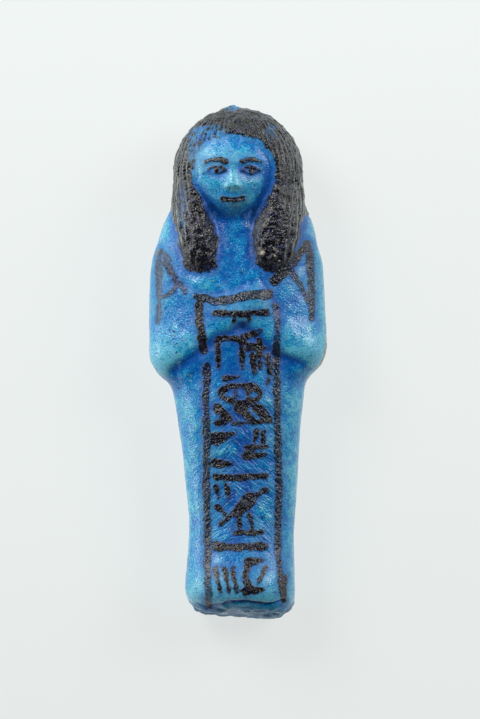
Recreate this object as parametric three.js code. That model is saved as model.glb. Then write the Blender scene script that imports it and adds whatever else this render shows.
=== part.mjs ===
// Ushabti: a small mummiform tomb figure, pressed in one mould from quartz paste and glazed blue.
//
// It is one solid. It lies on its back: +Z rises out of the chest, +Y runs from the feet to the
// crown, and +X is on the right of someone who looks down on it. Millimetres throughout.
//
// The form is a field that is negative inside the figure. It is blended from the masses that a
// modeller would press together: legs, trunk, arms, hands, wig, lappets and face. A grid of rays
// leaves a core line inside the figure, and each vertex of the solid is where its ray comes out.
// Forms are placed by x across the body, s along it from the heel, and z up from the back.

import * as THREE from "three";

// ---- Driving dimensions ----------------------------------------------------------------------

const LENGTH = 105; // heel to crown
const FIGURE_COLOUR = 0x2b7fc0; // turquoise to cobalt glaze, taken together

// Half-widths of the mummiform outline at stations along the body: [s, left, right].
// The mould was not symmetrical, and the legs lean a little to the right.
const LEG_OUTLINE = [
  [-4, 10.6, 11.6],
  [6, 10.8, 11.6],
  [12, 10.4, 11.5],
  [18, 10.0, 11.4],
  [24, 10.2, 11.8],
  [30, 10.8, 12.2],
  [37, 11.7, 12.6],
  [43, 12.6, 13.1],
  [48, 13.4, 13.7],
  [56, 14.5, 14.5],
];
const TRUNK_OUTLINE = [
  [44, 16.0, 16.0],
  [52, 17.0, 16.9],
  [58, 17.9, 17.9],
  [66, 18.1, 17.5],
  [72, 17.5, 16.9],
  [78, 16.2, 16.0],
  [81, 15.2, 15.5],
  [84, 13.6, 13.4],
  [88, 9.0, 9.2],
];
// Height of the front above the back, along the middle of the body: [s, z].
const LEG_PROFILE = [
  [-4, 17.6],
  [3, 18.4],
  [8, 18.2],
  [14, 16.2],
  [20, 15.4],
  [30, 15.8],
  [40, 17.0],
  [50, 17.6],
  [58, 17.8],
];
const TRUNK_PROFILE = [
  [44, 17.6],
  [54, 18.0],
  [66, 18.6],
  [74, 18.3],
  [80, 17.2],
  [84, 16.0],
  [88, 14.5],
];
// Height of the back above the ground it lies on: it is hollow between the calves and the wig.
const BACK_PROFILE = [
  [-4, -1.3],
  [14, -1.2],
  [26, -0.6],
  [44, 0.5],
  [60, 0.6],
  [74, 0.5],
  [88, 0.8],
];

const SIDE_LEVEL = 9; // height of the widest line of legs and trunk
const FRONT_ROUNDNESS = 2.35; // exponent of the front of a cross-section; 2 is an ellipse
const BACK_ROUNDNESS = 2.9;

const TRUNK_FOOT = 50.2; // where the trunk and the elbows stop over the legs
const ELBOW_DROP = 1.2; // the left elbow hangs this much lower than the right one
const CHEVRON_HALF = 12.6; // in front the trunk's foot climbs from here to the middle,
const CHEVRON_SLOPE = 0.7; // along the forearms

const SOLE_TILT = 0.2; // the sole runs up towards the toes: s gained for each mm of height
const SOLE_SKEW = 0.07; // and to the left, for each mm of width
const SOLE_EDGE = 4.6; // blending of the sole's edge

// Wig: a dome over the head that runs down as a tube, from which the lappets and the fall of hair
// behind the shoulders are cut. [s, half-width, top] below the dome's widest line.
const DOME = { centre: [0.12, 91, 11.3], radii: [13.15, 13.55, 11.9] };
const WIG_TUBE = [
  [68, 11.8, 19.9],
  [72, 12.4, 20.4],
  [76, 13.1, 20.7],
  [80, 13.4, 21.1],
  [84, 13.4, 21.8],
  [88, 13.2, 22.7],
  [91, 13.1, 23.2],
];
const WIG_BACK_DEPTH = 11.5;
const WIG_BACK_ROUNDNESS = 2.5;
const LAPPET_FLATNESS = 1.1; // added to the roundness exponent where the lappets lie flat
const NUB = { centre: [-1.3, 103.5, 11.5], radius: 1.5 };
const HEM = 70.5; // lower edge of the hair behind
const REAR_DEPTH = 8.5; // the hair behind the shoulders reaches this high
const SHOULDER_LINE = 82.5; // above it the hair covers the sides too
const LAPPET_END = 72;
// Inner and outer edges of the lappets, measured out from the middle: [s, inner, outer].
const LEFT_LAPPET = [
  [72, 4.6, 10.9],
  [75, 4.4, 11.5],
  [78, 4.6, 12.2],
  [81, 5.5, 12.9],
  [85, 7.2, 13.9],
  [88, 8.5, 15.5],
  [91, 9.3, 17.0],
];
const RIGHT_LAPPET = [
  [72, 3.5, 11.2],
  [75, 3.3, 11.8],
  [78, 3.3, 12.4],
  [81, 3.8, 13.0],
  [85, 5.6, 13.9],
  [88, 7.0, 15.5],
  [91, 7.6, 17.0],
];
const STRAND_HEIGHT = 0.12; // ridges of hair, one on every second ray

// Head: face and its opening in the wig, set a little to the left.
const FACE = { centre: [-0.9, 91.1, 13.2], radii: [8.6, 9.2, 9.3] };
const FACE_BREADTH = 1.14; // of the temples; the jaw is narrower
const FACE_ROUNDNESS = 2.4;
const OPENING_TOP = 98.6;
const OPENING_FLARE = 0.95; // the hole in the wig widens outwards,
const FLARE_LEVEL = [19, 21.4]; // and has its true width at these heights, on chest and forehead
const NECK = { centre: [-0.4, 82, 11.6], radii: [5.8, 8, 6.2] };

// Features on ordinary proportions: thirds of the face's height, fifths of its width.
const CHIN = FACE.centre[1] - FACE.radii[1];
const THIRD = (OPENING_TOP - CHIN) / 3;
const EYE_WIDTH = (2 * FACE.radii[0]) / 5;
const BROW_S = OPENING_TOP - THIRD;
const NOSE_BASE_S = CHIN + THIRD;
const EYE_S = BROW_S - THIRD * 0.3;
const MOUTH_S = NOSE_BASE_S - THIRD * 0.36;
const BROW_HEIGHT = 0.3;
const SOCKET_DEPTH = 0.7;
const EYEBALL_HEIGHT = 0.5;
const NOSE_HEIGHT = 1.8;
const NOSE_HALF = [0.85, 1.5]; // at its root and at its tip
const LIP_HEIGHT = 0.6;
const LIP_GAP = 1.25; // between the middles of the two lips
const CHIN_HEIGHT = 0.5;

// Arms: crossed on the breast, the one on the left (-X) over the other.
const SHOULDER = [12.6, 72.5, 10.4];
const ELBOW = [12.9, 56.0, 12.2];
const WRIST = [0.5, 63.2, 17.0];
const OVER_FIST = [-3.6, 65.6, 17.3]; // past the middle
const UNDER_FIST = [-7.6, 67.2, 16.6];
const SHOULDER_RADIUS = 4.3;
const ELBOW_RADIUS = 4.5;
const WRIST_RADIUS = 3.5;
const FIST_RADIUS = 3.1;
const UNDER_ARM_SINK = 0.9; // how much deeper the lower arm lies where they cross

// Grid of rays.
const RAYS = 72; // round the body
const FRONT_DENSITY = 0.22; // 0 spreads the rays evenly, more draws them to the front
const CORE_LEG_HEIGHT = 8.5;
const CORE_HEAD_HEIGHT = 11.2;
const FOOT_CORE = 8; // the core line ends here, and rays fan out to the sole
const HEAD_CORE = 94.5; // and here, with a fan over the crown
const FOOT_RINGS = 8;
const LEG_STEP = 2.6;
const BODY_STEP = 1.65;
const HEAD_STEP = 1.05;
const CROWN_RINGS = 14;
const ARMS_FROM = 47;
const HEAD_FROM = 80.5;

// ---- Small mathematics -----------------------------------------------------------------------

const clamp = (v, low = 0, high = 1) => Math.min(high, Math.max(low, v));
const mix = (a, b, t) => a + (b - a) * t;
const smoothstep = (low, high, v) => {
  const t = clamp((v - low) / (high - low));
  return t * t * (3 - 2 * t);
};

// Union and overlap of two fields, blended over a width of k.
const join = (a, b, k) => {
  const h = Math.max(k - Math.abs(a - b), 0) / k;
  return Math.min(a, b) - (h * h * k) / 4;
};
const overlap = (a, b, k) => -join(-a, -b, k);

// A smooth curve through stations [s, value], read at column `column`.
function curveThrough(stations, column = 1) {
  const slope = (i) => {
    const a = stations[Math.max(0, i - 1)];
    const b = stations[Math.min(stations.length - 1, i + 1)];
    return (b[column] - a[column]) / (b[0] - a[0]);
  };
  return (s) => {
    const last = stations.length - 1;
    if (s <= stations[0][0]) return stations[0][column];
    if (s >= stations[last][0]) return stations[last][column];
    const i = stations.findIndex((station) => station[0] > s) - 1;
    const [a, b] = [stations[i], stations[i + 1]];
    const width = b[0] - a[0];
    const t = (s - a[0]) / width;
    const cubic = t * t * (3 - 2 * t);
    return (
      mix(a[column], b[column], cubic) +
      slope(i) * width * t * (1 - t) * (1 - t) -
      slope(i + 1) * width * t * t * (1 - t)
    );
  };
}

// ---- Simple masses ---------------------------------------------------------------------------

function ellipsoid([x, s, z], { centre, radii }) {
  const u = [x - centre[0], s - centre[1], z - centre[2]];
  const reach = Math.hypot(u[0] / radii[0], u[1] / radii[1], u[2] / radii[2]);
  const steepness = Math.hypot(u[0] / radii[0] ** 2, u[1] / radii[1] ** 2, u[2] / radii[2] ** 2);
  return steepness < 1e-9 ? -Math.min(...radii) : (reach * (reach - 1)) / steepness;
}

// A limb from a to b, with its own radius at each end.
function limb(point, a, b, radiusA, radiusB) {
  const along = b.map((v, i) => v - a[i]);
  const from = point.map((v, i) => v - a[i]);
  const dot = along.reduce((sum, v, i) => sum + v * from[i], 0);
  const t = clamp(dot / along.reduce((sum, v) => sum + v * v, 0));
  const off = from.map((v, i) => v - along[i] * t);
  return Math.hypot(...off) - mix(radiusA, radiusB, t);
}

// A long mass whose cross-section is rounder in front than behind.
function longMass([x, s, z], shape) {
  const halfWidth = x < 0 ? shape.left(s) : shape.right(s);
  const rise = shape.front(s) - SIDE_LEVEL;
  const fall = SIDE_LEVEL - shape.back(s);
  const front = z > SIDE_LEVEL;
  const height = front ? rise : fall;
  const roundness = front ? FRONT_ROUNDNESS : BACK_ROUNDNESS;
  const u = Math.abs(x) / halfWidth;
  const v = Math.abs(z - SIDE_LEVEL) / height;
  return ((u ** roundness + v ** roundness) ** (1 / roundness) - 1) * Math.min(halfWidth, height);
}

const LEGS = {
  left: curveThrough(LEG_OUTLINE, 1),
  right: curveThrough(LEG_OUTLINE, 2),
  front: curveThrough(LEG_PROFILE),
  back: curveThrough(BACK_PROFILE),
};
const TRUNK = {
  left: curveThrough(TRUNK_OUTLINE, 1),
  right: curveThrough(TRUNK_OUTLINE, 2),
  front: curveThrough(TRUNK_PROFILE),
  back: curveThrough(BACK_PROFILE),
};

// ---- The parts of the figure -----------------------------------------------------------------

function legs(point) {
  const [x, s, z] = point;
  const belowSole = (SOLE_TILT * z - SOLE_SKEW * x - s) / Math.hypot(1, SOLE_TILT, SOLE_SKEW);
  // Inside the trunk the legs shrink away, so that they do not swell it.
  const shaft = longMass(point, LEGS) + 4 * smoothstep(60, 68, s);
  return Math.max(overlap(shaft, belowSole, SOLE_EDGE), s - 68);
}

function trunk(point) {
  const [x, s, z] = point;
  const drop = ELBOW_DROP * smoothstep(3, -3, x);
  const chevron = CHEVRON_SLOPE * Math.max(0, CHEVRON_HALF - Math.hypot(x, 1.5));
  const foot = TRUNK_FOOT - drop + chevron * smoothstep(9, 13, z);
  return overlap(overlap(longMass(point, TRUNK), foot - s, 3.5), s - 86, 4);
}

function arm([x, s, z], side) {
  const drop = side < 0 ? ELBOW_DROP * smoothstep(62, 54, s) : 0;
  const sink = side > 0 ? UNDER_ARM_SINK * smoothstep(8, 2, x) : 0;
  const point = [x * side, s + drop, z + sink];
  const fist = side < 0 ? OVER_FIST : UNDER_FIST;
  const upper = limb(point, SHOULDER, ELBOW, SHOULDER_RADIUS, ELBOW_RADIUS);
  const forearm = limb(point, ELBOW, WRIST, ELBOW_RADIUS, WRIST_RADIUS);
  const hand = limb(point, WRIST, fist, WRIST_RADIUS * 0.93, FIST_RADIUS);
  return join(join(upper, forearm, 2), hand, 1.2);
}

const TUBE = { halfWidth: curveThrough(WIG_TUBE, 1), top: curveThrough(WIG_TUBE, 2) };
const LAPPET_EDGES = [LEFT_LAPPET, RIGHT_LAPPET].map((stations) => ({
  inner: curveThrough(stations, 1),
  outer: curveThrough(stations, 2),
}));

// The wig before it is cut: an oval tube under a dome, flatter behind than in front.
function wigMass([x, s, z]) {
  const front = z > DOME.centre[2];
  const halfWidth = s < DOME.centre[1] ? TUBE.halfWidth(s) : DOME.radii[0];
  const rise = (s < DOME.centre[1] ? TUBE.top(s) : DOME.centre[2] + DOME.radii[2]) - DOME.centre[2];
  const height = front ? rise : WIG_BACK_DEPTH;
  const flatness = LAPPET_FLATNESS * smoothstep(89, 78, s);
  const roundness = front ? 2 + flatness : WIG_BACK_ROUNDNESS;
  const u = Math.abs(x - DOME.centre[0]) / halfWidth;
  const v = Math.abs(z - DOME.centre[2]) / height;
  const section = (u ** roundness + v ** roundness) ** (1 / roundness);
  const over = Math.max(0, s - DOME.centre[1]) / DOME.radii[1];
  return (Math.hypot(section, over) - 1) * Math.min(halfWidth, height, DOME.radii[1]);
}

// Seen from in front: negative within the hole that the face and neck look out of.
function faceOpening([x, s, z]) {
  const side = x < FACE.centre[0] ? 0 : 1;
  const above = Math.max(0, s - FACE.centre[1]) / (OPENING_TOP - FACE.centre[1]);
  const offset = FACE.centre[0] * smoothstep(76, 90, s);
  const halfWidth = LAPPET_EDGES[side].inner(s) + (side ? -offset : offset);
  const u = Math.abs(x - offset) / halfWidth;
  const flare = OPENING_FLARE * (z - mix(...FLARE_LEVEL, smoothstep(80, 96, s)));
  return Math.max((Math.hypot(u, above) - 1) * halfWidth - flare, 10 - z);
}

// Seen from in front: negative within a lappet, which has a round end.
function lappetOutline(x, s) {
  const edges = LAPPET_EDGES[x < 0 ? 0 : 1];
  const [inner, outer] = [edges.inner(s), edges.outer(s)];
  const half = (outer - inner) / 2;
  const u = (Math.abs(x) - (inner + outer) / 2) / half;
  const roundEnd = half * 0.85;
  const v = Math.max(0, LAPPET_END + roundEnd - s) / roundEnd;
  return (Math.hypot(u, v) - 1) * half;
}

function wig(point) {
  const [x, s, z] = point;
  const hem = HEM + 0.12 * Math.abs(x / 5) ** 4;
  const behind = overlap(z - REAR_DEPTH - 3 * smoothstep(76, 84, s), hem - s, 2.5);
  const lappets = Math.max(lappetOutline(x, s), SIDE_LEVEL - z);
  const covered = join(join(SHOULDER_LINE - s, behind, 2), lappets, 1);
  const hair = overlap(wigMass(point), covered, 1.6);
  const nub = Math.hypot(...point.map((v, i) => v - NUB.centre[i])) - NUB.radius;
  return overlap(join(hair, nub, 1.5), -faceOpening(point), 2);
}

function face(point) {
  const [x, s, z] = point;
  const middle = x - FACE.centre[0];
  const breadth = FACE.radii[0] * mix(0.84, FACE_BREADTH, smoothstep(83, 93, s));
  const radii = [breadth, FACE.radii[1], FACE.radii[2]];
  const [u, v, w] = point.map((value, i) => Math.abs(value - FACE.centre[i]) / radii[i]);
  const n = FACE_ROUNDNESS;
  let surface = ((u ** n + v ** n + w ** n) ** (1 / n) - 1) * FACE.radii[0];
  if (z < FACE.centre[2]) return surface;
  const bump = (across, along, width, height) =>
    Math.exp(-((across / width) ** 2) - (along / height) ** 2);
  const fromBrow = Math.max(0, Math.abs(middle) - 4);
  surface -= BROW_HEIGHT * bump(fromBrow, s - BROW_S - 0.3, 2.2, 1);
  for (const side of [-1, 1]) {
    const fromEye = middle - side * EYE_WIDTH;
    surface += SOCKET_DEPTH * bump(fromEye, s - EYE_S, EYE_WIDTH * 0.6, 1.35);
    surface -= EYEBALL_HEIGHT * bump(fromEye, s - EYE_S, EYE_WIDTH * 0.36, 0.75);
  }
  // The nose is a wedge that widens and rises down to its tip.
  const downNose = clamp((BROW_S - s) / (BROW_S - NOSE_BASE_S - 0.5));
  const noseEnd = 1 - smoothstep(NOSE_BASE_S + 0.9, NOSE_BASE_S - 0.3, s);
  const noseHeight = NOSE_HEIGHT * downNose ** 1.2 * noseEnd;
  surface -= noseHeight * Math.exp(-((middle / mix(...NOSE_HALF, downNose)) ** 2));
  surface -= LIP_HEIGHT * bump(middle, s - MOUTH_S - LIP_GAP * 0.4, 2.4, 0.6);
  surface -= LIP_HEIGHT * bump(middle, s - MOUTH_S + LIP_GAP * 0.6, 2, 0.6);
  surface += (LIP_HEIGHT / 2) * bump(middle, s - MOUTH_S + 1.9, 2.6, 0.6);
  surface -= CHIN_HEIGHT * bump(middle, s - CHIN - 1.6, 2.6, 1.2);
  return surface;
}

function figure(point) {
  let body = join(legs(point), trunk(point), 1.6);
  body = join(body, join(arm(point, -1), arm(point, 1), 0.6), 1.6);
  body = join(body, ellipsoid(point, NECK), 2.5);
  body = join(body, face(point), 1.2);
  return join(body, wig(point), 0.7);
}

// 1 on the hair, 0 on skin, and in between along its edges.
function hairiness(point) {
  const skin = Math.min(face(point), trunk(point), legs(point));
  return smoothstep(0, 0.8, skin - wig(point));
}

// ---- The grid of rays ------------------------------------------------------------------------

// A ray's angle round the body: 0 points along +X and a quarter turn up out of the chest.
function angleOf(ray) {
  const turn = ((ray % RAYS) / RAYS) * 2 * Math.PI;
  return turn + FRONT_DENSITY * Math.cos(turn);
}

function coreHeight(s) {
  return mix(CORE_LEG_HEIGHT, CORE_HEAD_HEIGHT, smoothstep(70, 86, s));
}

// The last point inside the figure along a ray.
function surfacePoint(origin, direction) {
  const at = (distance) => origin.map((v, i) => v + direction[i] * distance);
  let outside = 26;
  while (outside > 0.5 && figure(at(outside)) > 0) outside -= 0.15;
  let inside = outside;
  outside += 0.15;
  for (let i = 0; i < 24; i++) {
    const middle = (inside + outside) / 2;
    if (figure(at(middle)) > 0) outside = middle;
    else inside = middle;
  }
  return at(inside);
}

// Rings from the sole to the crown. `lean` turns a ring's rays towards the sole (-) or crown (+),
// and `slope` lays a ring parallel to the slanting sole.
function ringPlan() {
  const rings = [];
  for (let i = 1; i < FOOT_RINGS; i++) {
    const share = i / FOOT_RINGS;
    rings.push({ s: FOOT_CORE, lean: -Math.atan2(1 - share ** 1.6, share * 1.5), slope: SOLE_TILT });
  }
  const span = (from, to, step) => {
    const count = Math.round((to - from) / step);
    for (let i = 0; i < count; i++) {
      const s = mix(from, to, i / count);
      rings.push({ s, lean: 0, slope: SOLE_TILT * smoothstep(24, FOOT_CORE, s) });
    }
  };
  span(FOOT_CORE, ARMS_FROM, LEG_STEP);
  span(ARMS_FROM, HEAD_FROM, BODY_STEP);
  span(HEAD_FROM, HEAD_CORE, HEAD_STEP);
  for (let i = 0; i < CROWN_RINGS; i++) {
    rings.push({ s: HEAD_CORE, lean: (i / CROWN_RINGS) * (Math.PI / 2), slope: 0 });
  }
  return rings;
}

function ringPoints({ s, lean, slope }) {
  const origin = [0, s, coreHeight(s)];
  const points = [];
  for (let ray = 0; ray < RAYS; ray++) {
    const angle = angleOf(ray);
    const out = [Math.cos(angle), slope * Math.sin(angle), Math.sin(angle)];
    const direction = out.map((v, i) => v * Math.cos(lean) + (i === 1 ? Math.sin(lean) : 0));
    const length = Math.hypot(...direction);
    const unit = direction.map((v) => v / length);
    const point = surfacePoint(origin, unit);
    const crownFade = smoothstep(Math.PI / 2, Math.PI / 3.4, lean);
    const ridge = STRAND_HEIGHT * hairiness(point) * crownFade * (ray % 2 ? -1 : 1);
    points.push(point.map((v, i) => v + unit[i] * ridge));
  }
  return points;
}

function buildGeometry() {
  const rings = ringPlan();
  const rows = rings.map(ringPoints);
  const positions = [];
  // What would reach below the ground is pressed flat against it.
  const add = ([x, s, z]) => positions.push(x, s, Math.max(0, z));
  rows.forEach((row) => row.forEach(add));
  const at = (ring, ray) => ring * RAYS + (ray % RAYS);
  const sole = rows.length * RAYS;
  add(surfacePoint([0, FOOT_CORE, coreHeight(FOOT_CORE)], [0, -1, 0]));
  add(surfacePoint([0, HEAD_CORE, coreHeight(HEAD_CORE)], [0, 1, 0]));
  const halfway = (a, b) => [0, 1, 2].map((i) => (positions[3 * a + i] + positions[3 * b + i]) / 2);
  const offSurface = (a, b) => Math.abs(figure(halfway(a, b)));
  const faces = [];
  for (let ray = 0; ray < RAYS; ray++) {
    faces.push(sole, at(0, ray), at(0, ray + 1));
    faces.push(sole + 1, at(rows.length - 1, ray + 1), at(rows.length - 1, ray));
    for (let ring = 0; ring + 1 < rows.length; ring++) {
      const [a, b] = [at(ring, ray), at(ring, ray + 1)];
      const [c, d] = [at(ring + 1, ray), at(ring + 1, ray + 1)];
      // The diagonal that lies closer to the surface follows a crease that crosses the grid.
      if (offSurface(a, d) < offSurface(b, c)) faces.push(a, c, d, a, d, b);
      else faces.push(a, c, b, b, c, d);
    }
  }
  const geometry = new THREE.BufferGeometry();
  geometry.setAttribute("position", new THREE.Float32BufferAttribute(positions, 3));
  geometry.setIndex(faces);
  return geometry;
}

// ---- The object ------------------------------------------------------------------------------

function makeFigurine() {
  const geometry = buildGeometry();
  geometry.computeBoundingBox();
  const { min, max } = geometry.boundingBox;
  const scale = LENGTH / (max.y - min.y);
  geometry.translate(-(min.x + max.x) / 2, -(min.y + max.y) / 2, -min.z);
  geometry.scale(scale, scale, scale);
  geometry.computeVertexNormals();
  const glaze = new THREE.MeshStandardMaterial({
    color: FIGURE_COLOUR,
    roughness: 0.35,
    metalness: 0,
  });
  const mesh = new THREE.Mesh(geometry, glaze);
  mesh.name = "figurine";
  return mesh;
}

const ushabti = new THREE.Group();
ushabti.add(makeFigurine());

export default ushabti;
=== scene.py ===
"""An ushabti: a small mummiform tomb figure of blue glazed quartz paste, lying on its back.

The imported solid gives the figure's form. Here a copy of it is refined and carved further, painted
and glazed. Lengths are in millimetres up to the moment that they reach a mesh, a light or a camera.
Places on the figure are x across it, s along it from the heel, and z up from its back.
"""

import itertools
import math

import bpy
import numpy as np
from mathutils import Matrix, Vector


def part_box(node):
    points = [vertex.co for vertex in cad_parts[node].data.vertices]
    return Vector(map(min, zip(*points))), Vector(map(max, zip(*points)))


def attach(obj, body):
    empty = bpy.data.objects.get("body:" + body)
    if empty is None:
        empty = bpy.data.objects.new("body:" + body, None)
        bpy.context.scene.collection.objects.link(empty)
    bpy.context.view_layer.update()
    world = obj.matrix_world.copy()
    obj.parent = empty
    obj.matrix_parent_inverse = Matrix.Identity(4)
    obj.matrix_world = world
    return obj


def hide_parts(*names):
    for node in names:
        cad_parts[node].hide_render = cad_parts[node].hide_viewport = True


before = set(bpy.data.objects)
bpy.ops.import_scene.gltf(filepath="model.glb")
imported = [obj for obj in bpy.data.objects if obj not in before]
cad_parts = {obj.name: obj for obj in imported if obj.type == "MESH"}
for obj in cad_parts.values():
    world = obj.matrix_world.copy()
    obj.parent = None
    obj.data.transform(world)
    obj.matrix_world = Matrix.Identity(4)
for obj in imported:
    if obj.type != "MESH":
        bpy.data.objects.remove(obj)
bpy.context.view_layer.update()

MM = 0.001
NODE = "figurine"
cad_low, cad_high = (np.array(corner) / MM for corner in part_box(NODE))
HEEL_Y = cad_low[1]  # s is measured from here
WIDEST_Z = 9  # height of the widest line of legs and trunk

# ---- The wig's edges, as in the solid: [s, inner, outer] measured out from the middle ----------

LEFT_LAPPET = (
    (72, 4.6, 10.9),
    (75, 4.4, 11.5),
    (78, 4.6, 12.2),
    (81, 5.5, 12.9),
    (85, 7.2, 13.9),
    (88, 8.5, 15.5),
    (91, 9.3, 17.0),
)
RIGHT_LAPPET = (
    (72, 3.5, 11.2),
    (75, 3.3, 11.8),
    (78, 3.3, 12.4),
    (81, 3.8, 13.0),
    (85, 5.6, 13.9),
    (88, 7.0, 15.5),
    (91, 7.6, 17.0),
)
LAPPET_END = 72
SHOULDER_LINE = 82.5  # above it the hair covers the sides too
LEFT_SHOULDER_RISE = 2  # that line is higher on the left
HEM = 70.5  # lower edge of the hair behind, at the middle
NAPE_Z = 7  # how far the hair behind comes up the sides below the shoulder line
TEMPLE_Z = 11.5  # and above it
OPENING_Z = 10  # the face and neck look out of the hair above this
HEAD_CORE_Z = 11.3
FACE_X = -0.9
FACE_S = 91.1
HAIRLINE_S = 98.6
CHIN_S = 81.9

# ---- Small mathematics --------------------------------------------------------------------------


def smoothstep(low, high, value):
    t = np.clip((value - low) / (high - low), 0, 1)
    return t * t * (3 - 2 * t)


def mix(a, b, t):
    return a + (b - a) * t


def bell(distance, width):
    return np.exp(-((distance / width) ** 2))


def away(x, s, middle, half_widths=(1, 1)):
    """How far places are from a middle (x, s), counted in half-widths."""
    return np.hypot((x - middle[0]) / half_widths[0], (s - middle[1]) / half_widths[1])


def noise(points, cell, seed):
    """Smooth noise between -1 and 1 on a lattice with cells of that size: a number, or x, s, z."""
    place = points / np.asarray(cell, float) + 17.31 * (seed + 1)
    base = np.floor(place).astype(np.int64)
    share = place - base
    share = share * share * (3 - 2 * share)
    total = np.zeros(len(points))
    for corner in itertools.product((0, 1), repeat=3):
        lattice = base + corner
        mixed = lattice @ np.array((73856093, 19349663, 83492791)) + seed * 7919
        mixed = (mixed ^ (mixed >> 13)) * 1274126177 & 0x7FFFFFFF
        value = ((mixed ^ (mixed >> 15)) & 0xFFFF) / 0x7FFF - 1
        weight = np.prod(np.where(corner, share, 1 - share), axis=1)
        total += value * weight
    return total


def stroke_distance(x, s, path, width=(0, 0)):
    """Signed distance to a stroke along (x, s) points, with its width at the start and the end."""
    start_radius, end_radius = width[0] / 2, width[1] / 2
    lengths = [math.dist(a, b) for a, b in zip(path, path[1:])]
    whole = sum(lengths)
    done = 0
    nearest = np.full(len(x), 1e3)
    for (from_x, from_s), (to_x, to_s), length in zip(path, path[1:], lengths):
        along = ((x - from_x) * (to_x - from_x) + (s - from_s) * (to_s - from_s)) / length**2
        along = np.clip(along, 0, 1)
        off = np.hypot(x - mix(from_x, to_x, along), s - mix(from_s, to_s, along))
        radius = mix(start_radius, end_radius, (done + along * length) / whole)
        nearest = np.minimum(nearest, off - radius)
        done += length
    return nearest


ARC_POINTS = 7


def arc(middle, radii, start, end):
    """Points (x, s) along an ellipse between two angles in degrees, 0 pointing to +x."""
    turns = np.radians(np.linspace(start, end, ARC_POINTS))
    (x, s), (half_x, half_s) = middle, radii
    return [(x + half_x * math.cos(turn), s + half_s * math.sin(turn)) for turn in turns]


# ---- Where the wig is ---------------------------------------------------------------------------


def station(table, s, column):
    return np.interp(s, [row[0] for row in table], [row[column] for row in table])


def opening_distance(x, s):
    """Seen from in front, negative within the hole that the face and neck look out of."""
    offset = FACE_X * smoothstep(76, 90, s)
    left = station(LEFT_LAPPET, s, 1) + offset
    right = station(RIGHT_LAPPET, s, 1) - offset
    half = np.where(x < offset, left, right)
    above = np.maximum(0, s - FACE_S) / (HAIRLINE_S - FACE_S)
    return (np.hypot((x - offset) / half, above) - 1) * half


def lappet_distance(x, s):
    """Seen from in front, negative within a lappet, which has a round end."""
    inner = np.where(x < 0, station(LEFT_LAPPET, s, 1), station(RIGHT_LAPPET, s, 1))
    outer = np.where(x < 0, station(LEFT_LAPPET, s, 2), station(RIGHT_LAPPET, s, 2))
    half = (outer - inner) / 2
    round_end = half * 0.85  # the end is a little flatter than a half circle
    across = (np.abs(x) - (inner + outer) / 2) / half
    along = np.maximum(0, LAPPET_END + round_end - s) / round_end
    return (np.hypot(across, along) - 1) * half


def hair_distance(points):
    """Signed distance to the wig's edge over the surface: negative on the hair."""
    x, s, z = points.T
    hem = HEM + 0.12 * np.abs(x / 5) ** 4
    comes_up = mix(NAPE_Z, TEMPLE_Z, smoothstep(SHOULDER_LINE, SHOULDER_LINE + 2.5, s))
    behind = np.maximum(z - comes_up, hem - s)
    lappets = np.maximum(lappet_distance(x, s), WIDEST_Z - z)
    side_line = SHOULDER_LINE + np.where(x < 0, LEFT_SHOULDER_RISE, 0)
    covered = np.minimum(np.minimum(side_line - s, behind), lappets)
    opening = np.maximum(opening_distance(x, s), OPENING_Z - z)
    return np.maximum(covered, -opening)


# ---- The piece: a refined copy of the solid -----------------------------------------------------

VOXEL = 0.465  # size of the refined copy's faces
HEAD_FROM_S, HEAD_FROM_Z = 69, 3  # beyond both, the faces are halved for the hair and the face
FLAT = math.radians(60)  # facets that meet at less than this are made one


def select_only(piece):
    bpy.ops.object.select_all(action="DESELECT")
    piece.select_set(True)
    bpy.context.view_layer.objects.active = piece


def apply_modifier(piece, kind, **settings):
    modifier = piece.modifiers.new(kind.title(), kind)
    for name, value in settings.items():
        setattr(modifier, name, value)
    bpy.ops.object.modifier_apply(modifier=modifier.name)


def refined_copy():
    """Copies the solid, rounds its facets and lays an even net of small faces over it."""
    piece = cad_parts[NODE].copy()
    piece.data = piece.data.copy()
    piece.name = "ushabti_glazed"
    piece.parent = None
    for key in list(piece.keys()):
        del piece[key]
    bpy.context.scene.collection.objects.link(piece)
    select_only(piece)
    bpy.ops.object.mode_set(mode="EDIT")
    bpy.ops.mesh.select_all(action="SELECT")
    bpy.ops.mesh.remove_doubles(threshold=0.001 * MM)
    bpy.ops.mesh.tris_convert_to_quads(face_threshold=FLAT, shape_threshold=FLAT)
    bpy.ops.object.mode_set(mode="OBJECT")
    apply_modifier(piece, "SUBSURF", levels=2, render_levels=2)
    apply_modifier(piece, "REMESH", mode="VOXEL", voxel_size=VOXEL * MM)
    return piece


def subdivide_head(piece):
    """Halves the size of the faces on the head, the wig and the lappets."""
    select_only(piece)
    middles = np.zeros(len(piece.data.polygons) * 3)
    piece.data.polygons.foreach_get("center", middles)
    _, s, z = (middles.reshape(-1, 3) / MM - (0, HEEL_Y, 0)).T
    piece.data.polygons.foreach_set("select", (s > HEAD_FROM_S) & (z > HEAD_FROM_Z))
    bpy.ops.object.mode_set(mode="EDIT")
    bpy.ops.mesh.subdivide(number_cuts=1)
    bpy.ops.mesh.select_all(action="DESELECT")
    bpy.ops.object.mode_set(mode="OBJECT")


def read_points(mesh):
    """Vertices as x, s, z in millimetres."""
    flat = np.zeros(len(mesh.vertices) * 3)
    mesh.vertices.foreach_get("co", flat)
    return flat.reshape(-1, 3) / MM - (0, HEEL_Y, 0)


def write_points(mesh, points):
    flat = (points + (0, HEEL_Y, 0)) * MM
    mesh.vertices.foreach_set("co", flat.ravel())
    mesh.update()


def read_normals(mesh):
    flat = np.zeros(len(mesh.vertices) * 3)
    mesh.vertex_normals.foreach_get("vector", flat)
    return flat.reshape(-1, 3)


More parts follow.
